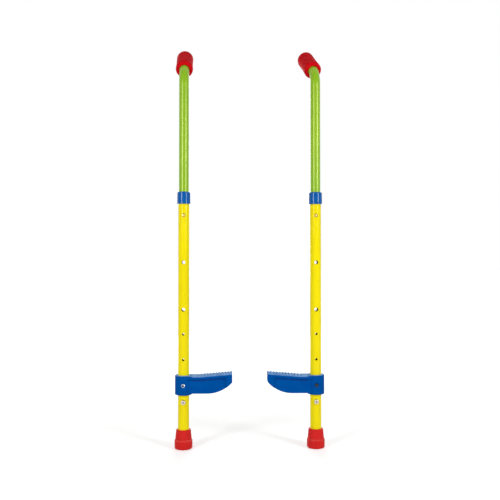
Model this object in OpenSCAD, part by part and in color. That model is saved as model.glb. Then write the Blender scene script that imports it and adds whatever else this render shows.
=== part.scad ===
// A pair of children's telescoping tube stilts, standing side by side.
// +Z is up and the ground is Z = 0. The footrests point at each other along X.
// The handles bend away to +Y, and the holes and bolt heads face -Y.

/* [Pair] */
// Distance between the two tube axes as the pair stands
stance = 338; // [300:1:500]

/* [Lower tube] */
// Outer diameter of the lower tube
lower_od = 28.6; // [28.4:0.1:31]
// Wall of the lower tube
lower_wall = 1.2; // [1:0.05:1.3]
// Length of the lower tube
lower_len = 637; // [580:1:760]
// Diameter of the height setting holes
height_hole_d = 10; // [9.4:0.1:11]
// From the tube's top end down to the highest setting hole
height_hole_drop = 55; // [42:1:80]
// Distance from one height setting to the next
height_pitch = 120; // [90:0.5:130]
// Number of height settings
height_settings = 3; // [2:1:3]
// Diameter of the bolt holes
bolt_hole_d = 6.4; // [6.2:0.1:7]
// Height of the footrest bolt at the lowest footrest setting
footrest_z = 162; // [135:1:175]
// Distance from one footrest setting to the next
footrest_pitch = 64.5; // [56:0.5:70]
// Number of footrest settings
footrest_settings = 3; // [1:1:3]
// From the footrest bolt down to the stop bolt under the footrest
stop_drop = 43; // [38:1:60]

/* [Upper tube] */
// Outer diameter of the upper tube
upper_od = 25.4; // [23:0.1:25.7]
// Wall of the upper tube
upper_wall = 1.2; // [1:0.1:2]
// Length of tube below the snap button
upper_tail = 56; // [45:1:80]
// Length of tube that shows between the collar and the bend
upper_show = 280; // [250:1:400]
// Radius of the bend, at the middle of the tube
bend_r = 50; // [40:1:80]
// Angle of the handle from the upright
bend_angle = 57; // [40:1:80]
// Turn of the left handle out to its left, as it stands in the photograph
left_turn = 2.5; // [-15:0.5:15]
// Turn of the right handle towards the left stilt, as it stands in the photograph
right_turn = 7.5; // [-15:0.5:15]
// How much thinner in radius the straight end is that the grip is pushed on
end_step = 0.2; // [0.2:0.05:0.4]

/* [Grip] */
// Length of the grip
grip_len = 105; // [90:1:130]
// Diameter of the grip at its waist
grip_od = 43.4; // [38:0.2:44]
// Diameter of the flange at the open end
grip_flange_od = 44.6; // [43.6:0.2:50]
// Length of the flange
grip_flange_len = 15; // [12:0.5:22]
// Rounding of the flange at the open end
grip_flange_round = 7; // [2:0.5:8]
// Diameter of the grip near its closed end
grip_end_od = 44.2; // [40:0.2:48]
// Rounding of the closed end
grip_end_round = 8; // [3:0.5:12]
// Thickness of the closed end
grip_cap = 8; // [4:0.5:14]
// Length of the bend that the grip's open end covers
grip_mouth = 3; // [2:0.5:5]

/* [Collar] */
// Height of the collar
collar_h = 31; // [24:0.5:38]
// Diameter of the collar at its lower edge
collar_od = 34.6; // [33.4:0.2:40]
// How much narrower the collar is at its top
collar_taper = 0.8; // [0.2:0.1:2]
// Rounding of the collar's top edge
collar_round = 3; // [1:0.5:4]
// Thickness of the lip over the end of the lower tube
collar_lip = 5; // [4:0.5:8]

/* [Foot] */
// Height of the rubber foot
foot_h = 49; // [44:1:65]
// Diameter of the band that stands on the ground
foot_od = 45.4; // [43.4:0.2:52]
// Height of that band
foot_band_h = 23; // [18:1:28]
// Rounding of the band's upper edge
foot_ledge = 1.6; // [0.5:0.1:2]
// Diameter of the body just above the band
foot_body_od = 42; // [38:0.2:43]
// Diameter of the body at its top
foot_top_od = 37; // [34.8:0.2:39]
// Thickness of rubber under the tube
foot_floor = 9; // [7:0.5:14]
// Depth of the grip rings in the sole
sole_groove = 2; // [1:0.5:3]
// Width of a grip ring in the sole
sole_groove_w = 2.4; // [1.5:0.1:3]
// Distance from the sole's middle to the first grip ring, and from one ring to the next
sole_ring_step = 6.5; // [4:0.5:7]
// Number of grip rings in the sole
sole_rings = 2; // [1:1:2]
// Thickness of the steel washer inside
washer_t = 2; // [1:0.5:3]

/* [Footrest] */
// Wall of the sleeve around the tube
clamp_wall = 7.4; // [6.5:0.1:9]
// Height of the sleeve
clamp_h = 49; // [44:1:60]
// From the tube axis to the tip of the tread
tread_reach = 124; // [105:1:150]
// Width of the tread from front to back
tread_w = 40; // [34:1:42]
// How far the tread lies below the sleeve's top edge
tread_drop = 1.5; // [0:0.1:3]
// Angle by which the toothed tread rises to its tip
tread_rise = 4.5; // [0:0.5:6]
// Thickness of the tread plate under the teeth
tread_plate = 4; // [3:0.5:6]
// Height of the rail along the tread's edges
rail_h = 8; // [7:0.5:14]
// How far the side webs stand back from the rail
web_inset = 3.4; // [0.8:0.1:4]
// Wall of the side webs
web_t = 3; // [2.5:0.5:4]
// Length of the full-width nose at the tip
nose_len = 16; // [8:1:22]
// Height of the upright face of the tip
tip_h = 22; // [16:1:26]
// How far the arm's belly lies above the sleeve's lower edge
belly_lift = 3.8; // [1:0.1:5]
// From the tube axis to where the belly starts to curve up
belly_start = 61; // [45:1:80]
// From the tube axis to the first tooth
tooth_start = 39; // [34:1:50]
// Number of teeth across the tread
tooth_count = 11; // [8:1:14]
// Height of a tooth
tooth_h = 2.6; // [1.5:0.1:3.5]
// Thickness of the ribs under the tread
rib_t = 2.4; // [1.6:0.1:4]
// Number of ribs across the underside
rib_count = 3; // [1:1:5]

/* [Snap button] */
// Diameter of the snap button
button_d = 9; // [8:0.1:9]
// Length that the button pops out through the lower tube's hole
button_out = 3; // [2:0.1:3.2]
// Thickness of the button's flange inside the tube
button_flange_t = 1.2; // [0.8:0.1:1.6]
// How far the flange stands out around the button
button_rim = 1.3; // [0.8:0.1:1.8]
// Width of the spring leaf
leaf_w = 8; // [6:0.5:9]
// Thickness of the spring leaf
leaf_t = 0.7; // [0.5:0.1:1]
// Length of the spring leaf above the button
leaf_rise = 45; // [35:1:60]
// Radius of the leaf's fold
leaf_fold_r = 3.5; // [2.5:0.1:4]

/* [Bush] */
// Height of the bush under the upper tube's end
bush_h = 12; // [8:1:20]
// Length of the bush's spigot inside the upper tube
bush_spigot = 18; // [10:1:30]
// Wall of the bush's spigot
bush_wall = 2.2; // [1.5:0.1:4]

/* [Fasteners] */
// Diameter of the bolts
bolt_d = 6; // [5:0.1:6]
// Diameter of the footrest bolt's domed head
dome_head_d = 10.6; // [9:0.2:12]
// Height of the domed head
dome_head_h = 3.3; // [2.5:0.1:4]
// Depth of the pocket that the domed head sits in
dome_pocket = 2.8; // [2:0.1:3.2]
// Width of the hexagon socket across its flats
socket_af = 5; // [3:0.5:5]
// Diameter of the stop bolt's pan head
pan_head_d = 12.4; // [10:0.2:14]
// Height of the pan head
pan_head_h = 4; // [3:0.1:5]
// Length of the cross recess
cross_len = 7; // [5:0.5:8]
// Width of the cross recess
cross_w = 1.4; // [1:0.1:2]
// Width of the nuts across their flats
nut_af = 10; // [9:0.5:10.5]
// Angle of the chamfer on the nuts' corners
nut_chamfer = 30; // [15:1:35]
// Depth of the pocket that the footrest nut sits in
nut_pocket = 5.2; // [4.8:0.1:5.5]
// Thickness of the nuts
nut_t = 4; // [3:0.1:4.6]

/* [Fits] */
// Clearance all round between pieces that are pushed over each other
fit = 0.1; // [0.05:0.05:0.2]
// Clearance between faces that are screwed or pressed together
seat = 0.05; // [0.02:0.01:0.1]

/* [Hidden] */

$fn = 64;
LEFT = -1;
RIGHT = 1;

// Colours as the photograph shows them
yellow_paint = [0.94, 0.87, 0.06];
green_paint = [0.52, 0.75, 0.13];
blue_plastic = [0, 0.32, 0.64];
grip_red = [0.78, 0.10, 0.13];
foot_red = [0.80, 0.15, 0.14];
bright_steel = [0.80, 0.80, 0.78];
dark_steel = [0.42, 0.42, 0.42];
grey_plastic = [0.22, 0.22, 0.24];

// Overshoot of cutting tools past the faces they cut
cut = 1;

// Lower tube, from the washer in the foot up to the collar's lip
lower_r = lower_od / 2;
lower_bore_r = lower_r - lower_wall;
lower_z0 = foot_floor + washer_t + 2 * seat;
lower_z1 = lower_z0 + lower_len;
height_z = lower_z1 - height_hole_drop;
footrest_top_z = footrest_z + (footrest_settings - 1) * footrest_pitch;
hole_space = 2.5 * height_hole_d;
height_step = min(height_pitch, (height_z - footrest_top_z - hole_space) / (height_settings - 1));
stop_z = footrest_z - stop_drop;

// Collar on the end of the lower tube
collar_z1 = lower_z1 + seat + collar_lip;
collar_z0 = collar_z1 - collar_h;

// Upper tube, with its snap button level with the highest setting hole
upper_r = upper_od / 2;
upper_bore_r = upper_r - upper_wall;
upper_z0 = height_z - upper_tail;
bend_z = collar_z1 + upper_show;
bend_end_y = bend_r * (1 - cos(bend_angle));
bend_end_z = bend_z + bend_r * sin(bend_angle);
handle_r = upper_r - end_step;
handle_bore_r = upper_bore_r - end_step;
handle_lap = 2;
handle_len = grip_len - grip_mouth - grip_cap - 3 * fit;

// Footrest around the lower tube, centred on its bolt
clamp_bore_r = lower_r + fit;
clamp_r = clamp_bore_r + clamp_wall;
clamp_z0 = footrest_z - clamp_h / 2;
clamp_z1 = clamp_z0 + clamp_h;
clamp_edge = 1;
tooth_pitch = (tread_reach - tooth_start) / tooth_count;
tooth_lean = 0.9;
tread_z = clamp_z1 - tread_drop;
tip_z1 = tread_line(tread_reach);
belly_z = clamp_z0 + belly_lift;
belly_dx = tread_reach - belly_start;
belly_dz = tip_z1 - tip_h - belly_z;
belly_r = (belly_dx * belly_dx + belly_dz * belly_dz) / (2 * belly_dz);
web_w = tread_w - 2 * web_inset;
hollow_w = web_w - 2 * web_t;
hollow_x1 = tread_reach - nose_len / 2;
rib_step = (hollow_x1 - clamp_r + rib_t) / (rib_count + 1);

// Footrest bolt and nut, in pockets on opposite sides of the sleeve
dome_seat = clamp_r - dome_pocket;
nut_seat = clamp_r - nut_pocket;
nut_corner_d = nut_af / cos(30);

// Snap button, with its crown just inside the lower tube's bore
button_r = button_d / 2;
button_flange_r = button_r + button_rim;
crown_tip = lower_bore_r - fit;
crown_rim = sqrt(pow(lower_bore_r, 2) - pow(button_r, 2)) - 1.5 * fit;
crown_h = crown_tip - crown_rim;
crown_r = (button_r * button_r + crown_h * crown_h) / (2 * crown_h);
flange_front = sqrt(pow(upper_bore_r, 2) - pow(button_flange_r, 2)) - button_out - fit;
flange_back = flange_front - button_flange_t;

// Spring leaf behind the button, folded over and splayed to the tube's far wall
leaf_y = seat - flange_back;
leaf_z0 = height_z - button_flange_r;
leaf_fold_y = leaf_y + leaf_t / 2 + leaf_fold_r;
leaf_fold_z = height_z + leaf_rise;
leaf_back_len = leaf_fold_z - leaf_z0;
leaf_back_y = sqrt(pow(upper_bore_r, 2) - pow(leaf_w / 2, 2)) - fit;
leaf_splay = asin((leaf_back_y - leaf_fold_y - leaf_fold_r - leaf_t / 2) / leaf_back_len);

// How far a grip reaches from its tube axis, at an angle about the axis from the way it points
function grip_reach(a) =
    (bend_end_y + handle_tip_s * sin(bend_angle)) * cos(a)
    + handle_tip_r * sqrt(1 - pow(sin(bend_angle) * cos(a), 2))
    + grip_end_round;

// The pair's box is centred on the origin
handle_tip_s = grip_len - grip_mouth - grip_end_round;
handle_tip_r = grip_end_od / 2 - grip_end_round;
stem_r = max(foot_od / 2, clamp_r);
front_reach = max(stem_r, dome_seat + dome_head_h + seat);
back_reach = max(grip_reach(left_turn), grip_reach(right_turn));
left_reach = max(stem_r, grip_reach(90 - left_turn));
right_reach = max(stem_r, grip_reach(90 + right_turn));
axis_x = (left_reach - right_reach) / 2;
axis_y = (front_reach - back_reach) / 2;

// Height of the tread's middle line at a distance from the tube axis
function tread_line(x) = tread_z + max(0, x - tooth_start) * tan(tread_rise);

// Points of an arc about a centre, from one angle to another
function arc(centre, r, from, to, steps = 8) = [
    for (i = [0:steps])
        let (a = from + (to - from) * i / steps)
            [centre[0] + r * cos(a), centre[1] + r * sin(a)]
];

// A point turned about the origin
function turned(p, a) = [p[0] * cos(a) - p[1] * sin(a), p[0] * sin(a) + p[1] * cos(a)];

// Places a stilt's pieces on its own tube axis
module stand(side) {
    translate([side * stance / 2 + axis_x, axis_y, 0])
        children();
}

// Turns a footrest's pieces so that its tread points at the other stilt
module facing_inwards(side) {
    stand(side)
        rotate(side == LEFT ? 0 : 180)
            children();
}

// Places a piece of the handle on the bent end of the upper tube, with its own axis up Z
module on_handle() {
    translate([0, bend_end_y, bend_end_z])
        rotate([-bend_angle, 0, 0])
            children();
}

// Turns a stilt's handle about its own tube axis
module handle_turned(side) {
    rotate(side == RIGHT ? right_turn : left_turn)
        children();
}

// Turns a piece made along Z so that it points to the front, at a height
module facing_front(z) {
    translate([0, 0, z])
        rotate([90, 0, 0])
            children();
}

module pipe(r, bore_r, len) {
    linear_extrude(len)
        difference() {
            circle(r);
            circle(bore_r);
        }
}

// Hole from front to back through a tube
module cross_hole(z, d, len) {
    facing_front(z)
        cylinder(d = d, h = len, center = true);
}

module lower_tube(side) {
    color(yellow_paint)
        stand(side)
            difference() {
                translate([0, 0, lower_z0])
                    pipe(lower_r, lower_bore_r, lower_len);
                for (i = [0:height_settings - 1])
                    cross_hole(height_z - i * height_step, height_hole_d, lower_od + cut);
                for (i = [0:footrest_settings - 1])
                    cross_hole(footrest_z + i * footrest_pitch, bolt_hole_d, lower_od + cut);
                cross_hole(stop_z, bolt_hole_d, lower_od + cut);
            }
}

// Sleeve pressed over the lower tube, with a lip that guides the upper tube
module collar(side) {
    bottom_r = collar_od / 2;
    top_r = bottom_r - collar_taper / 2;
    lip_r = upper_r + 2 * fit;
    edge = 0.8;
    color(blue_plastic)
        stand(side)
            rotate_extrude()
                polygon(concat(
                    [
                        [lower_r + seat, collar_z0],
                        [bottom_r - edge, collar_z0],
                        [bottom_r, collar_z0 + edge]
                    ],
                    arc([top_r - collar_round, collar_z1 - collar_round], collar_round, 0, 90),
                    [
                        [lip_r + edge, collar_z1],
                        [lip_r, collar_z1 - edge],
                        [lip_r, lower_z1 + seat],
                        [lower_r + seat, lower_z1 + seat]
                    ]
                ));
}

// Rubber ferrule with a wide band at the ground, a tapered body and rings in its sole
module foot(side) {
    band_r = foot_od / 2;
    band_round = 4;
    body_r = foot_body_od / 2;
    ledge = min(foot_ledge, band_r - body_r);
    top_r = foot_top_od / 2;
    top_round = 1.6;
    color(foot_red)
        stand(side)
            difference() {
                rotate_extrude()
                    polygon(concat(
                        [[0, 0]],
                        arc([band_r - band_round, band_round], band_round, -90, 0),
                        arc([band_r - ledge, foot_band_h - ledge], ledge, 0, 90, 5),
                        [[body_r, foot_band_h]],
                        arc([top_r - top_round, foot_h - top_round], top_round, 0, 90, 5),
                        [[0, foot_h]]
                    ));
                translate([0, 0, foot_floor])
                    cylinder(r = lower_r + seat, h = foot_h);
                for (i = [1:sole_rings])
                    translate([0, 0, -cut])
                        pipe(
                            i * sole_ring_step + sole_groove_w / 2,
                            i * sole_ring_step - sole_groove_w / 2,
                            sole_groove + cut
                        );
            }
}

// Steel disc that keeps the tube's end from cutting through the rubber
module foot_washer(side) {
    color(dark_steel)
        stand(side)
            translate([0, 0, foot_floor + seat])
                cylinder(r = lower_r - fit, h = washer_t);
}

// Side view of the footrest, with X along the tread and Y up
module footrest_outline() {
    intersection() {
        polygon(concat(
            [[0, belly_z], [tread_reach, belly_z]],
            [
                for (i = [tooth_count - 1:-1:0], tooth = [1, tooth_lean])
                    let (x = tooth_start + (i + tooth) * tooth_pitch)
                        [x, tread_line(x) + (tooth == 1 ? -0.5 : 0.5) * tooth_h]
            ],
            [[tooth_start, tread_z - tooth_h / 2], [tooth_start, tread_z], [0, tread_z]]
        ));
        union() {
            translate([belly_start, belly_z + belly_r])
                circle(belly_r, $fn = 180);
            translate([0, belly_z])
                square([belly_start, 2 * clamp_h]);
        }
    }
}

// The part of the outline that has the tread's full width: its rail and its nose
module rail_outline() {
    intersection() {
        footrest_outline();
        union() {
            polygon([
                [0, tread_z - rail_h],
                [tooth_start, tread_z - rail_h],
                [tread_reach, tip_z1 - rail_h],
                [tread_reach, clamp_z1 + clamp_h],
                [0, clamp_z1 + clamp_h]
            ]);
            translate([tread_reach - nose_len, clamp_z0])
                square([nose_len, 2 * clamp_h]);
        }
    }
}

// Space under the tread plate, open below
module hollow_outline() {
    drop = tread_plate + tooth_h / 2;
    polygon([
        [clamp_r, clamp_z0 - cut],
        [hollow_x1, clamp_z0 - cut],
        [hollow_x1, tread_line(hollow_x1) - drop],
        [tooth_start, tread_z - drop],
        [clamp_r, tread_z - drop]
    ]);
}

// Extrudes a side view to a width centred on the tube
module across(width) {
    translate([0, width / 2, 0])
        rotate([90, 0, 0])
            linear_extrude(width)
                children();
}

// Pockets between the ribs under the tread, in two rows beside the middle rib
module underside_pockets() {
    row_w = (hollow_w - rib_t) / 2;
    intersection() {
        across(hollow_w)
            hollow_outline();
        union() {
            for (i = [0:rib_count], row = [-1, 1])
                translate([clamp_r + i * rib_step, row * (row_w + rib_t) / 2 - row_w / 2, 0])
                    cube([rib_step - rib_t, row_w, clamp_z1 + clamp_h]);
        }
    }
}

// Moulded bracket: a sleeve around the tube with a toothed tread on a ribbed, hollow arm
module footrest(side) {
    color(blue_plastic)
        facing_inwards(side)
            difference() {
                union() {
                    rotate_extrude()
                        polygon([
                            [0, clamp_z0],
                            [clamp_r - clamp_edge, clamp_z0],
                            [clamp_r, clamp_z0 + clamp_edge],
                            [clamp_r, clamp_z1 - clamp_edge],
                            [clamp_r - clamp_edge, clamp_z1],
                            [0, clamp_z1]
                        ]);
                    across(tread_w)
                        rail_outline();
                    across(web_w)
                        footrest_outline();
                }
                underside_pockets();
                translate([0, 0, clamp_z0 - cut])
                    cylinder(r = clamp_bore_r, h = clamp_h + 2 * cut);
                cross_hole(footrest_z, bolt_hole_d, 2 * clamp_r + cut);
                facing_front(footrest_z)
                    translate([0, 0, dome_seat])
                        cylinder(d = dome_head_d + 4 * fit, h = dome_pocket + cut);
                facing_front(footrest_z)
                    translate([0, 0, -clamp_r - cut])
                        rotate(30)
                            cylinder(d = nut_corner_d + 4 * fit, h = clamp_r + cut - nut_seat, $fn = 6);
            }
}

// Screw with a low domed head and a hexagon socket, head to the front
module footrest_bolt(side) {
    edge_h = 0.8;
    socket_deep = dome_head_h * 0.6;
    dome_rise = dome_head_h - edge_h;
    dome_r = (pow(dome_head_d / 2, 2) + pow(dome_rise, 2)) / (2 * dome_rise);
    color(bright_steel)
        facing_inwards(side)
            facing_front(footrest_z)
                difference() {
                    union() {
                        translate([0, 0, dome_seat + seat])
                            intersection() {
                                cylinder(d = dome_head_d, h = dome_head_h);
                                translate([0, 0, dome_head_h - dome_r])
                                    sphere(dome_r);
                            }
                        translate([0, 0, -nut_seat - nut_t])
                            cylinder(d = bolt_d, h = nut_seat + nut_t + dome_seat + 2 * seat);
                    }
                    translate([0, 0, dome_seat + seat + dome_head_h - socket_deep])
                        cylinder(d = socket_af / cos(30), h = dome_head_h, $fn = 6);
                }
}

// Hexagon nut around a bolt, lying on Z = 0, with its corners turned off at both faces
module nut() {
    face_r = 0.95 * nut_af / 2;
    bore_r = bolt_d / 2 + seat;
    rim_r = nut_corner_d / 2 + cut;
    rim_drop = (rim_r - face_r) * tan(nut_chamfer);
    intersection() {
        cylinder(d = nut_corner_d, h = nut_t, $fn = 6);
        rotate_extrude()
            polygon([
                [bore_r, 0],
                [face_r, 0],
                [rim_r, rim_drop],
                [rim_r, nut_t - rim_drop],
                [face_r, nut_t],
                [bore_r, nut_t]
            ]);
    }
}

module footrest_nut(side) {
    color(dark_steel)
        facing_inwards(side)
            facing_front(footrest_z)
                translate([0, 0, -nut_seat - seat - nut_t])
                    rotate(30)
                        nut();
}

// Cross-recessed screw through the lower tube, under the footrest's sleeve
module stop_bolt(side) {
    round_r = 1.8;
    head_r = pan_head_d / 2;
    recess_deep = pan_head_h * 0.6;
    tail = 1.5;
    color(bright_steel)
        stand(side)
            facing_front(stop_z)
                difference() {
                    union() {
                        translate([0, 0, lower_r + seat])
                            rotate_extrude()
                                polygon(concat(
                                    [[0, 0], [head_r, 0]],
                                    arc([head_r - round_r, pan_head_h - round_r], round_r, 0, 90),
                                    [[0, pan_head_h]]
                                ));
                        translate([0, 0, -lower_r - nut_t - tail])
                            cylinder(d = bolt_d, h = 2 * lower_r + nut_t + 2 * seat + tail);
                    }
                    for (turn = [0, 90])
                        translate([0, 0, lower_r + seat + pan_head_h])
                            rotate(turn)
                                cube([cross_len, cross_w, 2 * recess_deep], center = true);
                }
}

module stop_nut(side) {
    color(dark_steel)
        stand(side)
            facing_front(stop_z)
                translate([0, 0, -lower_r - seat - nut_t])
                    nut();
}

// Tube with a bent handle end and a hole for the snap button
module upper_tube(side) {
    color(green_paint)
        stand(side)
            difference() {
                handle_turned(side)
                    union() {
                        translate([0, 0, upper_z0])
                            pipe(upper_r, upper_bore_r, bend_z - upper_z0);
                        translate([0, bend_r, bend_z])
                            rotate([90, 0, -90])
                                rotate_extrude(angle = bend_angle)
                                    translate([bend_r, 0])
                                        difference() {
                                            circle(upper_r);
                                            circle(upper_bore_r);
                                        }
                        on_handle()
                            translate([0, 0, -handle_lap])
                                pipe(handle_r, handle_bore_r, handle_lap + handle_len);
                    }
                facing_front(height_z)
                    cylinder(d = button_d + 4 * fit, h = upper_od);
            }
}

// Soft sleeve with a rounded flange at its open end, a slight waist and a rounded closed end
module grip(side) {
    flange_r = grip_flange_od / 2;
    waist_r = grip_od / 2;
    end_r = grip_end_od / 2;
    slope_len = 14;
    waist_end = 0.6 * grip_len;
    mouth_room = 0.3;
    flange_middle = [flange_r - grip_flange_round, grip_flange_round];
    end_middle = [end_r - grip_end_round, grip_len - grip_end_round];
    color(grip_red)
        stand(side)
            handle_turned(side)
                on_handle()
                    translate([0, 0, -grip_mouth])
                        difference() {
                            rotate_extrude()
                                polygon(concat(
                                    [[0, 0]],
                                    arc(flange_middle, grip_flange_round, -90, 0),
                                    [
                                        [flange_r, grip_flange_len],
                                        [waist_r, grip_flange_len + slope_len],
                                        [waist_r, waist_end]
                                    ],
                                    arc(end_middle, grip_end_round, 0, 90),
                                    [[0, grip_len]]
                                ));
                            translate([0, 0, -cut])
                                cylinder(r = upper_r + mouth_room, h = grip_mouth + 2 * fit + cut);
                            cylinder(r = handle_r + seat, h = grip_len - grip_cap);
                        }
}

// Plug in the lower end of the upper tube, which guides it in the lower tube
module glide_bush(side) {
    spigot_r = upper_bore_r - fit;
    bush_r = lower_bore_r - 1.5 * fit;
    edge = 0.8;
    flange_z1 = upper_z0 - seat;
    color(grey_plastic)
        stand(side)
            rotate_extrude()
                polygon([
                    [spigot_r - bush_wall, flange_z1 - bush_h],
                    [bush_r - edge, flange_z1 - bush_h],
                    [bush_r, flange_z1 - bush_h + edge],
                    [bush_r, flange_z1],
                    [spigot_r, flange_z1],
                    [spigot_r, flange_z1 + bush_spigot - edge],
                    [spigot_r - edge, flange_z1 + bush_spigot],
                    [spigot_r - bush_wall, flange_z1 + bush_spigot]
                ]);
}

// Folded leaf spring: one leg behind the button, one against the tube's far wall
module snap_spring(side) {
    fold = [leaf_fold_y, leaf_fold_z];
    outer_r = leaf_fold_r + leaf_t / 2;
    inner_r = leaf_fold_r - leaf_t / 2;
    color(bright_steel)
        stand(side)
            translate([-leaf_w / 2, 0, 0])
                rotate([90, 0, 90])
                    linear_extrude(leaf_w)
                        polygon(concat(
                            [[leaf_y, leaf_z0]],
                            arc(fold, outer_r, 180, leaf_splay, 12),
                            [
                                fold + turned([outer_r, -leaf_back_len], leaf_splay),
                                fold + turned([inner_r, -leaf_back_len], leaf_splay)
                            ],
                            arc(fold, inner_r, leaf_splay, 180, 12),
                            [[leaf_y + leaf_t, leaf_z0]]
                        ));
}

// Pin with a crowned end and a flange that stops it inside the upper tube
module snap_button(side) {
    color(bright_steel)
        stand(side)
            facing_front(height_z)
                union() {
                    translate([0, 0, flange_back])
                        cylinder(r = button_flange_r, h = button_flange_t);
                    intersection() {
                        translate([0, 0, flange_back])
                            cylinder(r = button_r, h = crown_tip - flange_back);
                        translate([0, 0, crown_tip - crown_r])
                            sphere(crown_r);
                    }
                }
}

lower_tube(LEFT);  // left_lower_tube
collar(LEFT);  // left_collar
foot(LEFT);  // left_foot
foot_washer(LEFT);  // left_foot_washer
footrest(LEFT);  // left_footrest
footrest_bolt(LEFT);  // left_footrest_bolt
footrest_nut(LEFT);  // left_footrest_nut
stop_bolt(LEFT);  // left_stop_bolt
stop_nut(LEFT);  // left_stop_nut
upper_tube(LEFT);  // left_upper_tube
grip(LEFT);  // left_grip
glide_bush(LEFT);  // left_glide_bush
snap_spring(LEFT);  // left_snap_spring
snap_button(LEFT);  // left_snap_button
lower_tube(RIGHT);  // right_lower_tube
collar(RIGHT);  // right_collar
foot(RIGHT);  // right_foot
foot_washer(RIGHT);  // right_foot_washer
footrest(RIGHT);  // right_footrest
footrest_bolt(RIGHT);  // right_footrest_bolt
footrest_nut(RIGHT);  // right_footrest_nut
stop_bolt(RIGHT);  // right_stop_bolt
stop_nut(RIGHT);  // right_stop_nut
upper_tube(RIGHT);  // right_upper_tube
grip(RIGHT);  // right_grip
glide_bush(RIGHT);  // right_glide_bush
snap_spring(RIGHT);  // right_snap_spring
snap_button(RIGHT);  // right_snap_button
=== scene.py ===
"""Looks of a pair of children's telescoping stilts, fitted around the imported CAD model.

Sizes are in metres. +Z is up, the footrests point at each other along X, and the handles bend
to +Y.
"""

import math

import bmesh
import bpy
import numpy as np
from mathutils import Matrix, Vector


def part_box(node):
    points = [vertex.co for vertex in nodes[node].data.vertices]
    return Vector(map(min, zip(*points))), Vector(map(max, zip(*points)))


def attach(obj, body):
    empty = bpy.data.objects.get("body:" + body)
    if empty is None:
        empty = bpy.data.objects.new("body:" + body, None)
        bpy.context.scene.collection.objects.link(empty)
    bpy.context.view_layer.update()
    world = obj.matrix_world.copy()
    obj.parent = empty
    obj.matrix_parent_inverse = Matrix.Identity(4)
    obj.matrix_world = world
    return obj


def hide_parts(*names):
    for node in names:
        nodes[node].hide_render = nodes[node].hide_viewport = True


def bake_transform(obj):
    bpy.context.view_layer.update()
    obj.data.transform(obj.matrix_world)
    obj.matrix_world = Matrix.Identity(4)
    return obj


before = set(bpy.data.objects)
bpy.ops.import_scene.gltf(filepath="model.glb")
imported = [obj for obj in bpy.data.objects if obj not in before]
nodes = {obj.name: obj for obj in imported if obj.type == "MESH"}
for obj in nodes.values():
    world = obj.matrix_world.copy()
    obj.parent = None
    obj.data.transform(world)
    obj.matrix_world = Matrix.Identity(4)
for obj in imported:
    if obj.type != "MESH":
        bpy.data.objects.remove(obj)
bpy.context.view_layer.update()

MM = 0.001
TURN = 2 * math.pi
SIDES = ("left", "right")


# Places on the stilts

TUBE_WALL = 1.2 * MM
SLEEVE_FIT = 0.05 * MM

# The upper tube's bend to the handle, and how far each handle is turned about its tube
BEND_ANGLE = math.radians(57)
BEND_R = 50 * MM
BEND_Z = 933.15 * MM
HANDLE_TURN = {"left": math.radians(2.5), "right": math.radians(7.5)}

# Holes and bolts, by their heights above the ground
HEIGHT_HOLES, HEIGHT_HOLE_R = [593.1 * MM, 473.1 * MM, 353.1 * MM], 5 * MM
SPARE_BOLT_HOLES, BOLT_HOLE_R = [291 * MM, 226.5 * MM], 3.2 * MM
FOOTREST_BOLT_Z = 162 * MM
STOP_BOLT_Z = 119 * MM

# The footrest's tread, which rises from its first tooth on, and the rail that carries it
TREAD_Z, TREAD_RISE = 185 * MM, math.tan(math.radians(4.5))
TOOTH_START, RAIL_H = 39 * MM, 8 * MM


def tube_axis(side):
    """X and Y of a stilt's tube axis: the middle of its lower tube's box."""
    low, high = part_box(f"{side}_lower_tube")
    return (low.x + high.x) / 2, (low.y + high.y) / 2


LOWER_R = (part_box("left_lower_tube")[1].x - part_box("left_lower_tube")[0].x) / 2
MIDDLE_X = (tube_axis("left")[0] + tube_axis("right")[0]) / 2
AXIS_X, AXIS_Y = tube_axis("right")[0] - MIDDLE_X, tube_axis("right")[1]


def upright(side):
    """Origin on the ground under a stilt's tube axis, and axes across, back and up."""
    return np.array([*tube_axis(side), 0.0]), np.eye(3)


def along_handle(side):
    """Origin where the upper tube's bend ends, and axes across, down and out along the handle."""
    sin, cos = math.sin(BEND_ANGLE), math.cos(BEND_ANGLE)
    turn = HANDLE_TURN[side]
    about_z = np.array([
        [math.cos(turn), math.sin(turn), 0],
        [-math.sin(turn), math.cos(turn), 0],
        [0, 0, 1],
    ])
    bend_end = np.array([0, BEND_R * (1 - cos), BEND_Z + BEND_R * sin])
    axes = np.array([[1, 0, 0], [0, cos, -sin], [0, sin, cos]])
    return upright(side)[0] + bend_end @ about_z, axes @ about_z


def put(points, place):
    """Points in a place's own axes, moved to the frame of the whole object."""
    origin, axes = place
    return origin + points @ axes


# Shapes

def unit(v):
    """Vectors divided by their lengths."""
    return v / np.linalg.norm(v, axis=-1, keepdims=True)


def fillet(corners, radii, steps=8):
    """Polyline with an arc at each inner corner.

    An arc's centre lies on the corner's bisector at r / sin(half angle), and the arc swings
    evenly from one tangent point to the other.
    """
    p = np.asarray(corners, float)
    r = np.asarray(radii, float)[:, None]
    before, after = unit(p[:-2] - p[1:-1]), unit(p[2:] - p[1:-1])
    half = np.arccos(np.clip((before * after).sum(1, keepdims=True), -1, 1)) / 2
    centre = p[1:-1] + unit(before + after) * r / np.sin(half)
    start = p[1:-1] + before * r / np.tan(half) - centre
    end = p[1:-1] + after * r / np.tan(half) - centre
    swing = (math.pi - 2 * half)[:, :, None]
    t = np.linspace(0, 1, steps)[None, :, None]
    weighted = np.sin((1 - t) * swing) * start[:, None] + np.sin(t * swing) * end[:, None]
    arcs = weighted / np.sin(swing)
    return np.concatenate([p[:1], (centre[:, None] + arcs).reshape(-1, 2), p[-1:]])


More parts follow.
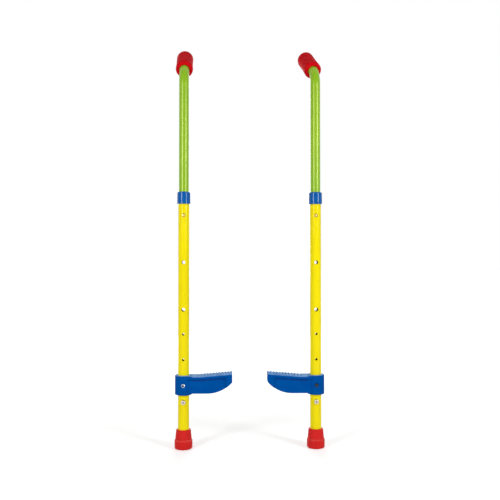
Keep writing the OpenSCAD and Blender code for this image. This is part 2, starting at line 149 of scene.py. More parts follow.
def spread(line, spacing):
    """Polyline with extra points, so that no step along it is longer than the spacing."""
    steps = np.linalg.norm(np.diff(line, axis=0), axis=1)
    along = np.concatenate([[0], np.cumsum(steps)])
    extra = np.arange(spacing, along[-1], spacing)
    stations = np.unique(np.round(np.concatenate([along, extra]), 8))
    return np.stack([np.interp(stations, along, line[:, k]) for k in (0, 1)], 1)


def turned(profile, around, ridge=None):
    """Rings of a profile (radius, distance along the axis) turned about the axis.

    ridge(angle, radius, distance) is added to the radius.
    """
    angle = np.linspace(0, TURN, around, endpoint=False)[None, :]
    r, s = profile[:, :1], profile[:, 1:]
    if ridge is not None:
        r = r + ridge(angle, r, s)
    return np.stack([r * np.cos(angle), r * np.sin(angle), s + 0 * angle], 2)


def parting_line(low, high, inner_r, height, width, fade=3 * MM):
    """Ridge where a mould parted, for turned().

    A bell curve across the line on both sides, which fades out towards both ends and is left out
    inside a radius.
    """
    def ridge(angle, r, s):
        off = np.abs(np.sin(angle)) * r
        ends = np.clip((s - low) / fade, 0, 1) * np.clip((high - s) / fade, 0, 1)
        return height * np.exp(-((off / width) ** 2)) * ends * (r > inner_r)
    return ridge


def skin(rings, loop=False):
    """Points, quads and triangles of the surface through closed rings.

    loop joins the last ring to the first one; otherwise each end ring closes on its middle point.
    """
    rows, around = rings.shape[:2]
    row = np.arange(rows if loop else rows - 1)[:, None]
    col = np.arange(around)[None, :]
    a, b = row * around + col, row * around + (col + 1) % around
    d, c = (row + 1) % rows * around + col, (row + 1) % rows * around + (col + 1) % around
    quads = np.stack([a, b, c, d], 2).reshape(-1, 4)
    points = rings.reshape(-1, 3)
    if loop:
        return points, quads, np.empty((0, 3), int)
    ring, top = np.arange(around), (rows - 1) * around + np.arange(around)
    middle = np.full(around, rows * around)
    first = np.stack([np.roll(ring, -1), ring, middle], 1)
    last = np.stack([top, np.roll(top, -1), middle + 1], 1)
    ends = np.stack([rings[0].mean(0), rings[-1].mean(0)])
    return np.concatenate([points, ends]), quads, np.concatenate([first, last])


def outwards(points, quads, tris):
    """The shell with its faces turned so that it holds a positive volume."""
    corners = np.concatenate([quads[:, [0, 1, 2]], quads[:, [0, 2, 3]], tris])
    a, b, c = points[corners].transpose(1, 0, 2)
    if (a * np.cross(b, c)).sum() < 0:
        return points, quads[:, ::-1], tris[:, ::-1]
    return points, quads, tris


def linked(name, data):
    """A new object in the scene, which holds a mesh, a lamp or a camera."""
    obj = bpy.data.objects.new(name, data)
    bpy.context.scene.collection.objects.link(obj)
    return obj


def piece(name, shells, body, finish):
    """One object from one or several closed shells, riding on a body, or on none yet."""
    shells = [outwards(*shell) for shell in shells]
    starts = np.cumsum([0] + [len(points) for points, _, _ in shells])
    points = np.concatenate([shell[0] for shell in shells])
    quads = np.concatenate([shell[1] + start for shell, start in zip(shells, starts)])
    tris = np.concatenate([shell[2] + start for shell, start in zip(shells, starts)])
    corners = np.concatenate([quads.ravel(), tris.ravel()])
    sizes = np.concatenate([np.full(len(quads), 4), np.full(len(tris), 3)])
    mesh = bpy.data.meshes.new(name)
    mesh.vertices.add(len(points))
    mesh.vertices.foreach_set("co", points.ravel())
    mesh.loops.add(len(corners))
    mesh.loops.foreach_set("vertex_index", corners)
    mesh.polygons.add(len(sizes))
    mesh.polygons.foreach_set("loop_start", np.cumsum(sizes) - sizes)
    mesh.polygons.foreach_set("use_smooth", np.ones(len(sizes), bool))
    mesh.update(calc_edges=True)
    return dressed(name, mesh, body, finish)


def dressed(name, mesh, body, finish):
    """An object with its finish, riding on a body, or on none yet."""
    mesh.materials.clear()
    mesh.materials.append(finish)
    obj = linked(name, mesh)
    if body:
        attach(obj, body)
    return obj


# Finishes

# Parts of a noise's range that are mapped to others: the narrow one gives more contrast
NOISE_WIDE = (0.3, 0.7)
NOISE_NARROW = (0.35, 0.65)


def srgb(r, g, b):
    """A colour as a picture shows it, from 0 to 255, as linear light by the sRGB curve."""
    c = np.array([r, g, b]) / 255
    return tuple(np.where(c <= 0.04045, c / 12.92, ((c + 0.055) / 1.055) ** 2.4)) + (1.0,)


class Wiring:
    """A node tree, with short ways to fill it."""

    def __init__(self, tree):
        self.tree = tree

    def plug(self, socket, value):
        """Sets a socket, or links it to another one."""
        if isinstance(value, bpy.types.NodeSocket):
            self.tree.links.new(value, socket)
        else:
            socket.default_value = value

    def add(self, kind, **inputs):
        """A node with its inputs set or linked."""
        node = self.tree.nodes.new(kind)
        for key, value in inputs.items():
            self.plug(node.inputs[key.replace("_", " ")], value)
        return node

    def ranged(self, value, low, high, to_low=0.0, to_high=1.0):
        """A value from low to high, mapped to another range and held there."""
        node = self.add(
            "ShaderNodeMapRange",
            Value=value,
            From_Min=low,
            From_Max=high,
            To_Min=to_low,
            To_Max=to_high,
        )
        return node.outputs["Result"]

    def math(self, operation, a, b=0.0):
        """The result of an operation on one or two values."""
        node = self.tree.nodes.new("ShaderNodeMath")
        node.operation = operation
        self.plug(node.inputs[0], a)
        self.plug(node.inputs[1], b)
        return node.outputs["Value"]

    def times(self, product, *factors):
        """The product of several values."""
        for factor in factors:
            product = self.math("MULTIPLY", product, factor)
        return product


class Finish(Wiring):
    """A material with a Principled shader and textures on Object coordinates.

    inwards is the distance from a stilt's tube axis towards the other stilt, and up is how far a
    face looks up.
    """

    def __init__(self, name, **sockets):
        self.material = bpy.data.materials.new(name)
        self.material.use_nodes = True
        super().__init__(self.material.node_tree)
        self.shader = self.tree.nodes["Principled BSDF"]
        place = self.add("ShaderNodeTexCoord")
        self.coords = place.outputs["Object"]
        x, self.y, self.z = self.add("ShaderNodeSeparateXYZ", Vector=self.coords).outputs
        from_middle = self.math("ABSOLUTE", self.math("SUBTRACT", x, MIDDLE_X))
        self.inwards = self.math("SUBTRACT", AXIS_X, from_middle)
        normal = self.add("ShaderNodeSeparateXYZ", Vector=place.outputs["Normal"])
        self.up = normal.outputs["Z"]
        for socket, value in sockets.items():
            self.shader.inputs[socket.replace("_", " ")].default_value = value

    def into(self, socket, value):
        """Links a value to one of the shader's sockets."""
        self.plug(self.shader.inputs[socket], value)

    def stretched(self, x, y, z):
        """Object coordinates with each axis scaled."""
        return self.add("ShaderNodeMapping", Vector=self.coords, Scale=(x, y, z)).outputs["Vector"]

    def noise(self, scale, detail=3.0, roughness=0.55, vector=None):
        """Noise from 0 to 1, on Object coordinates or on others."""
        node = self.add(
            "ShaderNodeTexNoise",
            Vector=vector or self.coords,
            Scale=scale,
            Detail=detail,
            Roughness=roughness,
        )
        return node.outputs["Fac"]

    def wander(self, scale, low, high):
        """A value that wanders between two others with a noise."""
        return self.ranged(self.noise(scale), *NOISE_WIDE, low, high)

    def hypot(self, a, b):
        """Length of the hypotenuse over two sides."""
        squares = self.math("ADD", self.math("POWER", a, 2.0), self.math("POWER", b, 2.0))
        return self.math("SQRT", squares)

    def off(self, value, level):
        """How far a value is from a level."""
        return self.math("ABSOLUTE", self.math("SUBTRACT", value, level))

    def off_bolt(self, z):
        """Distances across and up from the axis of a bolt that crosses a tube at a height."""
        return self.math("ABSOLUTE", self.inwards), self.off(self.z, z)

    def mix(self, fac, a, b):
        """Colour between a at factor 0 and b at factor 1."""
        node = self.tree.nodes.new("ShaderNodeMix")
        node.data_type = "RGBA"
        sockets = {socket.identifier: socket for socket in node.inputs}
        self.plug(sockets["Factor_Float"], fac)
        self.plug(sockets["A_Color"], a)
        self.plug(sockets["B_Color"], b)
        return next(socket for socket in node.outputs if socket.identifier == "Result_Color")

    def relief(self, height, depth, strength=1.0):
        """Bump of a height from 0 to 1, with its depth in metres."""
        node = self.add("ShaderNodeBump", Height=height, Distance=depth, Strength=strength)
        self.into("Normal", node.outputs["Normal"])


# Unpainted steel inside the tubes, darkened with painted shade of the bore
BORE_STEEL_AND_SHADE = srgb(52, 46, 24)


def tube_paint(name, colour, thin, scuffed, sheen, roughness, gloss, bore_r):
    """Gloss enamel on steel tube: soft colour drift, orange peel and faint lengthwise scuffs.

    Inside the bore's radius the colour is unpainted steel, darkened with painted shade.
    """
    f = Finish(name, Specular_IOR_Level=gloss, Specular_Tint=sheen)
    base = f.mix(f.ranged(f.noise(9, 2), *NOISE_NARROW), colour, thin)
    scuffs = f.ranged(f.noise(1, 4, 0.6, f.stretched(900, 900, 7)), 0.68, 0.8, 0, 0.22)
    base = f.mix(scuffs, base, scuffed)
    from_axis = f.hypot(f.inwards, f.math("SUBTRACT", f.y, AXIS_Y))
    # Inside the bore: unpainted steel darkened with painted shade
    inside_bore = f.ranged(from_axis, bore_r + 0.2 * MM, bore_r + 0.5 * MM, 1, 0)
    f.into("Base Color", f.mix(inside_bore, base, BORE_STEEL_AND_SHADE))
    f.into("Roughness", f.math("ADD", f.wander(130, roughness, roughness + 0.06), scuffs))
    f.relief(f.noise(500, 1), 0.04 * MM, 0.35)
    return f.material


def moulding(name, gloss):
    """Finish with the eroded grain of a plastic moulding, and the factor of its flow marks."""
    f = Finish(name, Specular_IOR_Level=gloss)
    f.relief(f.noise(2600, 2), 0.04 * MM, 0.4)
    return f, f.ranged(f.noise(14, 3, 0.6, f.stretched(1, 1, 2.4)), *NOISE_WIDE)


def moulded_plastic(name, colour, pale, dark, roughness, gloss):
    """Moulded plastic with slight flow marks and small pale rubs."""
    f, flow = moulding(name, gloss)
    rubs = f.ranged(f.noise(60, 6, 0.7), 0.62, 0.8, 0, 0.25)
    f.into("Base Color", f.mix(rubs, f.mix(flow, dark, colour), pale))
    f.into("Roughness", f.wander(180, roughness - 0.05, roughness + 0.06))
    return f.material


# Where the footrest's arm leaves its sleeve, and where the web ends under the nose
ARM_ROOT, WEB_END = (20 * MM, 26 * MM), (100 * MM, 109 * MM)


def footrest_plastic():
    """Moulded plastic of the footrest, with painted shade in the corner under the rail.

    The tread and its edges are matt, and painted pale for shoe wear and as a painted sheen where
    light grazes them. The rail's lower edge, from which heights are taken, is a level line up to
    the first tooth and then rises with the tread.
    """
    f, flow = moulding("blue_footrest_moulding", gloss=0.008)
    past_start = f.math("MAXIMUM", f.math("SUBTRACT", f.inwards, TOOTH_START), 0.0)
    rail_edge = f.math("ADD", f.times(past_start, TREAD_RISE), TREAD_Z - RAIL_H)
    under = f.math("SUBTRACT", rail_edge, f.z)
    on_arm = f.ranged(f.inwards, *ARM_ROOT)
    on_web = f.times(on_arm, f.ranged(f.inwards, *WEB_END, 1, 0))

    base = f.mix(flow, srgb(0, 74, 152), srgb(0, 81, 161))
    # Painted shade: a darker band on the web just under the rail's lower edge
    corner = f.times(f.ranged(under, 0.2 * MM, 1.4 * MM), f.ranged(under, 3 * MM, 6.8 * MM, 1, 0))
    painted_shade = f.times(corner, on_web, f.ranged(f.noise(90), 0.3, 0.6, 0.4, 0.75))
    base = f.mix(painted_shade, base, srgb(24, 52, 122))
    rubs = f.ranged(f.noise(60, 6, 0.7), 0.64, 0.8, 0, 0.2)
    base = f.mix(rubs, base, srgb(50, 112, 182))

    # Painted sheen: up-facing faces and the rail's top edge are painted pale where light grazes
    # them, with some shoe wear
    edge = f.times(f.ranged(under, -7.2 * MM, -5 * MM, 0.7, 0), on_arm)
    tread = f.math("MAXIMUM", f.ranged(f.up, 0.45, 0.9), edge)
    wear_and_painted_sheen = f.times(tread, f.ranged(f.noise(70, 5, 0.65), *NOISE_NARROW, 0.5, 0.95))
    f.into("Base Color", f.mix(wear_and_painted_sheen, base, srgb(148, 190, 238)))
    f.into("Roughness", f.math("ADD", f.wander(180, 0.3, 0.42), f.times(tread, 0.45)))
    return f.material


def soft_rubber(name, colour, shade, bloom_and_highlight, grain, roughness, gloss, ledge_z=None):
    """Soft moulding: mottled colour, dusty patches, a painted highlight along a ledge, and a skin
    of pits.
    """
    f = Finish(name, Specular_IOR_Level=gloss)
    mottle = f.ranged(f.noise(55, 5, 0.65), 0.32, 0.68)
    dust_and_highlight = f.ranged(f.noise(150, 4, 0.7), 0.58, 0.8, 0, 0.22)
    # Painted highlight along the ledge, where its edge catches the light
    if ledge_z:
        near = f.ranged(f.off(f.z, ledge_z), 0.8 * MM, 3 * MM, 1, 0)
        ledge_highlight = f.times(f.ranged(f.noise(120), *NOISE_NARROW, 0.25, 0.7), near)
        dust_and_highlight = f.math("MAXIMUM", dust_and_highlight, ledge_highlight)
    f.into("Base Color", f.mix(dust_and_highlight, f.mix(mottle, shade, colour), bloom_and_highlight))
    f.into("Roughness", f.wander(240, roughness - 0.08, roughness + 0.08))
    f.relief(f.noise(grain, 3, 0.6), 0.15 * MM, 0.5)
    return f.material


def plating(name, colour, dull, roughness):
    """Finish of plated steel with a cloudy tint and fine turning marks, and its base colour."""
    f = Finish(name, Metallic=1.0)
    base = f.mix(f.ranged(f.noise(320, 4), *NOISE_NARROW), dull, colour)
    f.into("Base Color", base)
    f.into("Roughness", f.wander(900, roughness - 0.07, roughness + 0.1))
    f.relief(f.noise(1, 2, 0.5, f.stretched(2500, 900, 2500)), 0.03 * MM, 0.5)
    return f, base


def plated(name, colour, dull, roughness):
    """Plated steel without other marks."""
    return plating(name, colour, dull, roughness)[0].material


# Painted shade for the insides of bolt recesses, and for the rim of a round bolt head
RECESS_SHADE = srgb(26, 28, 30)
RIM_SHADE = srgb(120, 112, 70)
BOLT_ROUGHNESS = 0.3
THREAD_PITCH, THREAD_DEPTH = 1 * MM, 0.6 * MM


def socket_bolt(name, colour, dull):
    """Plated bolt with painted shade in the hexagon socket of its head, taken as a circle."""
    f, base = plating(name, colour, dull, BOLT_ROUGHNESS)
    # Painted shade inside the socket
    socket = f.ranged(f.hypot(*f.off_bolt(FOOTREST_BOLT_Z)), 2.9 * MM, 3.2 * MM, 0.95, 0)
    f.into("Base Color", f.mix(socket, base, RECESS_SHADE))
    return f.material


def cross_bolt(name, colour, dull):
    """Plated bolt: painted shade in the cross recess of its head and around its rim, and a thread
    behind the tube.
    """
    f, base = plating(name, colour, dull, BOLT_ROUGHNESS)
    across, rise = f.off_bolt(STOP_BOLT_Z)
    length, width = (3.6 * MM, 4.4 * MM, 1, 0), (0.75 * MM, 1 * MM, 1, 0)
    level = f.times(f.ranged(across, *length), f.ranged(rise, *width))
    steep = f.times(f.ranged(rise, *length), f.ranged(across, *width))
    front = f.math("LESS_THAN", f.y, AXIS_Y)
    # Painted shade in the cross recess, on the front head only
    cross = f.times(f.math("MAXIMUM", level, steep), front, 0.75)
    # Painted shade at the head's rim, which turns away from the light and shades the tube under it
    rim = f.ranged(f.hypot(across, rise), 4.6 * MM, 6 * MM, 0, 0.7)
    f.into("Base Color", f.mix(rim, f.mix(cross, base, RECESS_SHADE), RIM_SHADE))
    turns = f.math("PINGPONG", f.times(f.y, 1 / THREAD_PITCH), 0.5)
    behind = f.math("GREATER_THAN", f.y, AXIS_Y + LOWER_R)
    f.relief(f.times(turns, behind), THREAD_DEPTH)
    return f.material


YELLOW = tube_paint(
    "yellow_enamel",
    colour=srgb(244, 226, 4),
    thin=srgb(240, 221, 3),
    scuffed=srgb(250, 240, 110),
    sheen=srgb(255, 255, 255),
    roughness=0.15,
    gloss=0.12,
    bore_r=LOWER_R - TUBE_WALL,
)
GREEN = tube_paint(
    "green_enamel",
    colour=srgb(137, 184, 17),
    thin=srgb(131, 180, 19),
    scuffed=srgb(190, 220, 110),
    sheen=srgb(255, 238, 186),
    roughness=0.27,
    gloss=0.82,
    bore_r=0.0,
)
BLUE = footrest_plastic()
COLLAR_BLUE = moulded_plastic(
    "blue_collar_moulding",
    colour=srgb(0, 90, 166),
    pale=srgb(24, 112, 190),
    dark=srgb(0, 86, 160),
    roughness=0.13,
    gloss=0.22,
)
BUSH_GREY = moulded_plastic(
    "bush_moulding",
    colour=srgb(60, 60, 64),
    pale=srgb(92, 92, 96),
    dark=srgb(48, 48, 52),
    roughness=0.5,
    gloss=0.3,
)
GRIP_RED = soft_rubber(
    "grip_soft_red",
    colour=srgb(206, 14, 22),
    shade=srgb(194, 10, 22),
    bloom_and_highlight=srgb(205, 34, 42),
    grain=1500,
    roughness=0.62,
    gloss=0.03,
)
# The foot's ledge gets a painted highlight
FOOT_RED = soft_rubber(
    "foot_rubber_red",
    colour=srgb(214, 38, 35),
    shade=srgb(206, 33, 31),
    bloom_and_highlight=srgb(224, 82, 74),
    grain=1100,
    roughness=0.5,
    gloss=0.1,
    ledge_z=22.6 * MM,
)
STOP_ZINC = cross_bolt("stop_bolt_zinc", srgb(242, 232, 214), srgb(222, 211, 190))
BOLT_ZINC = socket_bolt("footrest_bolt_zinc", srgb(226, 234, 242), srgb(206, 214, 224))
ZINC = plated("bright_zinc", srgb(214, 210, 202), srgb(190, 186, 178), roughness=0.3)
# Zinc painted near black as painted shade of the nut's pocket, tinted blue as a painted reflection
# of its plastic
ZINC_PAINTED_SHADE = plated("nut_zinc", srgb(38, 44, 54), srgb(28, 33, 42), roughness=0.42)
# Nickel, tinted tan as a painted reflection of the yellow tube around the button
NICKEL_YELLOW_REFLECTION = plated("button_nickel", srgb(232, 206, 128), srgb(212, 184, 104), roughness=0.46)
SPRING = plated("spring_steel", srgb(150, 150, 152), srgb(120, 120, 124), roughness=0.34)

# The other CAD nodes are replaced by new pieces
CAD_FINISH = {
    "lower_tube": YELLOW,
    "upper_tube": GREEN,
    "foot_washer": ZINC_PAINTED_SHADE,
    "footrest_bolt": BOLT_ZINC,
    "footrest_nut": ZINC_PAINTED_SHADE,
    "stop_bolt": STOP_ZINC,
    "stop_nut": ZINC,
    "glide_bush": BUSH_GREY,
}
for side in SIDES:
    for part, finish in CAD_FINISH.items():
        mesh = nodes[f"{side}_{part}"].data
        mesh.materials.clear()
        mesh.materials.append(finish)


# Grip

GRIP_MOUTH, GRIP_END = -3 * MM, 102 * MM


def grip(side):
    """Soft sleeve on the handle: blind bore, rolled flange, slight waist and swelling, crowned end.

    The profile runs from the bore's end out through the mouth and back over the outside, to a
    small dimple in the middle of the end. It is turned about the handle's axis.
    """
    bore, mouth, lip = 12.55 * MM, 13 * MM, GRIP_MOUTH + 3.2 * MM
    flange, waist, end = 22.3 * MM, 21.7 * MM, 22.1 * MM
    dimple_edge, dimple = 4 * MM, 2.2 * MM
    bore_end, swell, rim = GRIP_END - 8 * MM, GRIP_END - 22 * MM, GRIP_END - 0.4 * MM
    dimple_floor = GRIP_END - 1.1 * MM
    flange_end, waist_start, waist_end = (GRIP_MOUTH + s * MM for s in (15, 29, 63))
    corners = np.array([
        [0, bore_end],
        [bore, bore_end],
        [bore, lip],
        [mouth, lip],
        [mouth, GRIP_MOUTH],
        [flange, GRIP_MOUTH],
        [flange, flange_end],
        [waist, waist_start],
        [waist, waist_end],
        [end, swell],
        [end, rim],
        [dimple_edge, GRIP_END],
        [dimple, dimple_floor],
        [0, dimple_floor],
    ])
    radii = np.array([0.8, 0.1, 0.1, 0.8, 7, 60, 60, 60, 60, 8.5, 0.9, 0.7]) * MM
    profile = spread(fillet(corners, radii), spacing=1.5 * MM)[1:-1]
    ridge = parting_line(
        low=GRIP_MOUTH + 5 * MM,
        high=GRIP_END - 5 * MM,
        inner_r=16 * MM,
        height=0.15 * MM,
        width=0.45 * MM,
    )
    shell = skin(put(turned(profile, around=240, ridge=ridge), along_handle(side)))
    obj = piece(f"{side}_grip_sleeve", [shell], f"{side}_handle", GRIP_RED)
    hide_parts(f"{side}_grip")


# Collar

def collar(side):
    """Sleeve over the lower tube's end: tapered wall, rounded top, and a lip around the upper tube.

    A closed profile, which starts in the middle of the bore, turned about the tube axis.
    """
    low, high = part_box(f"{side}_collar")
    z0, z1, tube_top = low.z, high.z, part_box(f"{side}_lower_tube")[1].z + SLEEVE_FIT
    bore, lip, foot_r, top_r = LOWER_R + SLEEVE_FIT, 12.9 * MM, 17.3 * MM, 16.9 * MM
    start = [bore, z0 + 12 * MM]
    corners = np.array([
        start,
        [bore, z0],
        [foot_r, z0],
        [top_r, z1],
        [lip, z1],
        [lip, tube_top],
        [bore, tube_top],
        start,
    ])
    radii = np.array([0.5, 0.7, 3, 0.9, 0.4, 0.15]) * MM
    profile = spread(fillet(corners, radii), spacing=1.2 * MM)[:-1]
    shell = skin(put(turned(profile, around=160), upright(side)), loop=True)
    obj = piece(f"{side}_collar_sleeve", [shell], f"{side}_pole", COLLAR_BLUE)
    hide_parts(f"{side}_collar")


# Foot

def foot(side):
    """Rubber ferrule: ringed sole, wide band, ledge, tapered body with rolled lip, and blind bore.

    The profile runs from the sole's middle over the outside and down the bore. It is turned about
    the tube axis.
    """
    grooves = [(5.3 * MM, 7.7 * MM), (11.8 * MM, 14.2 * MM)]
    groove, bore, floor_z, top = 2 * MM, LOWER_R + SLEEVE_FIT, 9 * MM, 49 * MM
    band, ledge, ledge_z, lip = 22.7 * MM, 21 * MM, 23 * MM, 18.5 * MM
    sole = [
        corner
        for inner, outer in grooves
        for corner in ([inner, 0], [inner, groove], [outer, groove], [outer, 0])
    ]
    outside = [[band, 0], [band, ledge_z], [ledge, ledge_z], [lip, top]]
    inside = [[bore, top], [bore, floor_z], [0, floor_z]]
    corners = np.array([[0, 0]] + sole + outside + inside)
    radii = np.array([0.5] * len(sole) + [4.1, 1.4, 0.3, 1.6, 0.6, 0.5]) * MM
    profile = spread(fillet(corners, radii), spacing=1.4 * MM)[1:-1]
    ridge = parting_line(
        low=4 * MM,
        high=top - 1 * MM,
        inner_r=16 * MM,
        height=0.14 * MM,
        width=0.4 * MM,
    )
    shell = skin(put(turned(profile, around=240, ridge=ridge), upright(side)))
    obj = piece(f"{side}_foot_ferrule", [shell], f"{side}_pole", FOOT_RED)
    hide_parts(f"{side}_foot")


# Footrest

def footrest(side):
    """The CAD footrest with its edges rounded as a moulding's are."""
    mesh = nodes[f"{side}_footrest"].data.copy()
    shape = bmesh.new()
    shape.from_mesh(mesh)
    bmesh.ops.remove_doubles(shape, verts=shape.verts, dist=0.002 * MM)
    flat = math.radians(1)
    bmesh.ops.dissolve_limit(shape, angle_limit=flat, verts=shape.verts, edges=shape.edges)
    shape.to_mesh(mesh)
    shape.free()
    mesh.polygons.foreach_set("use_smooth", np.ones(len(mesh.polygons), bool))
    obj = dressed(f"{side}_footrest_moulding", mesh, f"{side}_pole", BLUE)
    bevel = obj.modifiers.new("rounded_edges", "BEVEL")
    bevel.width = 0.5 * MM
    bevel.segments = 2
    bevel.limit_method = "ANGLE"
    bevel.angle_limit = math.radians(28)
    bevel.harden_normals = True
    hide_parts(f"{side}_footrest")


# Rolled rims around the holes in the lower tube

def hole_rim(place, hole_r, z, facing):
    """Ring of paint around a hole: a small circle carried along the curve where hole and tube meet.

    The curve is a circle around the hole, laid on the tube: y is the root of r squared less x
    squared. The small circle's axes are the tube's normal and the line across the curve.
    """
    bead, path_r = 0.34 * MM, hole_r + 0.22 * MM
    around = np.linspace(0, TURN, 72, endpoint=False)
    section = np.linspace(0, TURN, 12, endpoint=False)[None, :, None]
    x = path_r * np.cos(around)
    y = facing * np.sqrt(LOWER_R**2 - x**2)
    middle = np.stack([x, y, z + path_r * np.sin(around)], 1)
    normal = np.stack([x, y, 0 * x], 1) / LOWER_R
    tangent = unit(np.roll(middle, -1, 0) - np.roll(middle, 1, 0))
    across = np.cross(tangent, normal)
    circle = np.cos(section) * normal[:, None] + np.sin(section) * across[:, None]
    return skin(put(middle[:, None] + bead * circle, place), loop=True)


def tube_rims(side):
    """Rims of all the open holes, on the front and the back of a lower tube."""
    holes = [(HEIGHT_HOLE_R, z) for z in HEIGHT_HOLES]
    holes += [(BOLT_HOLE_R, z) for z in SPARE_BOLT_HOLES]
    shells = [hole_rim(upright(side), r, z, facing) for r, z in holes for facing in (-1, 1)]
    piece(f"{side}_hole_rims", shells, f"{side}_pole", YELLOW)


# Snap button and its spring

def snap_pin(side):
    """Snap button: a flange, a stem and a round crown, turned about the line it slides on."""
    low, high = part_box(f"{side}_snap_button")
    flange_r, stem_r, crown_r = (high.z - low.z) / 2, 4.5 * MM, 12.3 * MM
    back, tip = AXIS_Y - high.y, AXIS_Y - low.y
    front = back + 1.2 * MM
    # The profile begins and ends just off its axis, where the skin closes it
    off_axis, last_swing = 0.1 * MM, 0.02
    swing = math.asin(stem_r / crown_r) * np.linspace(1, last_swing, 24)
    crown = np.stack([crown_r * np.sin(swing), tip - crown_r * (1 - np.cos(swing))], 1)
    # The edge between the stem and the crown is rounded within the crown's first steps
    edge = 6
    stem = fillet(
        [
            (off_axis, back),
            (flange_r, back),
            (flange_r, front),
            (stem_r, front),
            crown[0],
            crown[edge],
        ],
        np.array([0.25, 0.25, 0.3, 0.4]) * MM,
    )
    profile = np.concatenate([stem, crown[edge + 1:]])
    origin = np.array([tube_axis(side)[0], AXIS_Y, (low.z + high.z) / 2])
    facing_front = origin, np.array([[1.0, 0, 0], [0, 0, 1], [0, -1, 0]])
    rings = put(turned(profile, around=96), facing_front)
    obj = piece(f"{side}_snap_pin", [skin(rings)], f"{side}_button", NICKEL_YELLOW_REFLECTION)
    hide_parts(f"{side}_snap_button")


def leaf_spring(side):
    """Leaf behind the snap button.

    A thin rectangle with broken corners, carried up the front leg, over the fold and down the
    splayed back leg.
    """
    low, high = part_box(f"{side}_snap_spring")
    half_w, half_t, corner = 4 * MM, 0.35 * MM, 0.12 * MM
    fold_r, splay = 3.5 * MM, math.radians(9.7)
    front_y, fold_z = low.y + half_t, high.z - half_t - fold_r
    fold = np.array([tube_axis(side)[0], front_y + fold_r, fold_z])
    rise = np.linspace(0, 1, 48)
    over = np.linspace(math.pi, splay, 24)
    leg = (fold_z - low.z) * rise[1:]
    y = np.concatenate([
        0 * rise[:-1] - fold_r,
        fold_r * np.cos(over),
        fold_r * math.cos(splay) + leg * math.sin(splay),
    ])
    z = np.concatenate([
        (low.z - fold_z) * (1 - rise[:-1]),
        fold_r * np.sin(over),
        fold_r * math.sin(splay) - leg * math.cos(splay),
    ])
    middle = fold + np.stack([0 * y, y, z], 1)
    along = unit(np.gradient(middle, axis=0))
    across = np.array([1.0, 0, 0])
    normal = np.cross(along, across)
    wide = np.array([1, 1, 1, 1, -1, -1, -1, -1]) * half_w
    wide = wide - np.sign(wide) * corner * np.array([1, 0, 0, 1, 1, 0, 0, 1])
    thick = np.array([1, 1, -1, -1, -1, -1, 1, 1]) * half_t
    thick = thick - np.sign(thick) * corner * np.array([0, 1, 1, 0, 0, 1, 1, 0])
    rings = middle[:, None] + wide[None, :, None] * across + thick[None, :, None] * normal[:, None]
    obj = piece(f"{side}_leaf_spring", [skin(rings)], None, SPRING)
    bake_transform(obj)
    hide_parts(f"{side}_snap_spring")


for side in SIDES:
    grip(side)
    collar(side)
    foot(side)
    footrest(side)
    tube_rims(side)
    snap_pin(side)
    leaf_spring(side)


# Floor, light and camera

WHITE = (1, 1, 1, 1)
DOME = 0.32
FLOOR_GREY = (0.8, 0.8, 0.8, 1)
FLOOR_R, FLOOR_Z = 30, -0.2 * MM
LAMP_AIM = (0, -0.05, 0.65)
CAMERA_AT = (-0.048, -1.722, 0.477)
YAW, PITCH = math.radians(-1.72), math.radians(0.95)
# The focal length and the picture's width in pixels, and the sensor's width in millimetres
FOCAL_PX, IMAGE_PX, SENSOR = 653, 500, 36


def background(wires, output, plain, bright, mirrored=None):
    """Bright to the camera and in reflections, and plain to other rays.

    mirrored, from 0 to 1, is how much of the bright side reflections see: all of it if left out.
    """
    path = wires.add("ShaderNodeLightPath").outputs
    seen = path["Is Glossy Ray"]
    if mirrored:
        seen = wires.times(seen, mirrored)
    for ray in ("Is Camera Ray", "Is Transmission Ray"):
        seen = wires.math("MAXIMUM", seen, path[ray])
    mix = wires.add("ShaderNodeMixShader", Fac=seen)
    wires.plug(mix.inputs[1], plain)
    wires.plug(mix.inputs[2], bright)
    wires.plug(wires.tree.nodes[output].inputs["Surface"], mix.outputs["Shader"])


def studio_world():
    """White to the camera, and a weak dome of light.

    In reflections, the room in front of the stilts is dimmer than the white paper behind them.
    """
    world = bpy.data.worlds.new("studio")
    bpy.context.scene.world = world
    world.use_nodes = True
    wires = Wiring(world.node_tree)
    soft = wires.tree.nodes["Background"]
    wires.plug(soft.inputs["Color"], WHITE)
    wires.plug(soft.inputs["Strength"], DOME)
    white = wires.add("ShaderNodeBackground", Color=WHITE)
    towards = wires.add("ShaderNodeTexCoord").outputs["Generated"]
    backwards = wires.add("ShaderNodeSeparateXYZ", Vector=towards).outputs["Y"]
    room_side, paper_edge = -0.4, 0.3
    paper_side = wires.ranged(backwards, room_side, paper_edge)
    lights = soft.outputs["Background"], white.outputs["Background"]
    background(wires, "World Output", *lights, paper_side)


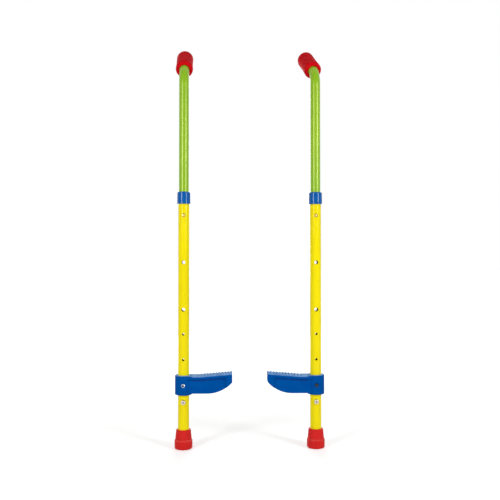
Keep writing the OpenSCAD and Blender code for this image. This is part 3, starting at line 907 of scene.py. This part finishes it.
def white_paper():
    """Paper of the floor, which glows less where the lamps light it, so that the shadows show."""
    material = bpy.data.materials.new("white_paper")
    material.use_nodes = True
    wires = Wiring(material.node_tree)
    wires.tree.nodes.remove(wires.tree.nodes["Principled BSDF"])
    paper = wires.add("ShaderNodeBsdfDiffuse", Color=FLOOR_GREY).outputs["BSDF"]
    away = wires.tree.nodes.new("ShaderNodeVectorMath")
    away.operation = "LENGTH"
    wires.plug(away.inputs[0], wires.add("ShaderNodeTexCoord").outputs["Object"])
    lit_r, unlit_r, dim, full = 0.3, 1.9, 0.42, 0.8
    strength = wires.ranged(away.outputs["Value"], lit_r, unlit_r, dim, full)
    glow = wires.add("ShaderNodeEmission", Strength=strength)
    lit = wires.tree.nodes.new("ShaderNodeAddShader")
    wires.plug(lit.inputs[0], paper)
    wires.plug(lit.inputs[1], glow.outputs["Emission"])
    background(wires, "Material Output", paper, lit.outputs["Shader"])
    return material


def softbox(name, place, width, height, power):
    """Upright area lamp that faces the middle of the pair and isn't seen itself."""
    lamp = bpy.data.lights.new(name, "AREA")
    lamp.shape = "RECTANGLE"
    lamp.size, lamp.size_y = width, height
    lamp.energy = power
    obj = linked(name, lamp)
    obj.location = place
    dx, dy, dz = (aim - at for aim, at in zip(LAMP_AIM, place))
    tilt, turn = math.atan2(dz, math.hypot(dx, dy)), math.atan2(dy, dx)
    obj.rotation_euler = (math.pi / 2 + tilt, 0, turn - math.pi / 2)
    obj.visible_camera = False


studio_world()

angle = np.linspace(0, TURN, 96, endpoint=False)
disc = np.stack([FLOOR_R * np.cos(angle), FLOOR_R * np.sin(angle), 0 * angle + FLOOR_Z], 1)
floor_mesh = bpy.data.meshes.new("floor")
floor_mesh.from_pydata(disc.tolist(), [], [list(range(len(disc)))])
floor_mesh.materials.append(white_paper())
floor = linked("floor", floor_mesh)

softbox("left_softbox", (-1.32, -1.69, 1.06), width=0.55, height=0.7, power=21)
softbox("right_softbox", (1.44, -1.42, 1.06), width=0.55, height=0.7, power=20)
softbox("back_softbox", (0, 2.4, 1.1), width=1.4, height=1.6, power=30)

camera = bpy.data.cameras.new("camera")
camera.sensor_width = SENSOR
camera.lens = FOCAL_PX / IMAGE_PX * SENSOR
camera_obj = linked("camera", camera)
camera_obj.location = CAMERA_AT
camera_obj.rotation_euler = (math.pi / 2 + PITCH, 0, YAW)
bpy.context.scene.camera = camera_obj
bpy.context.scene.view_settings.view_transform = "Standard"
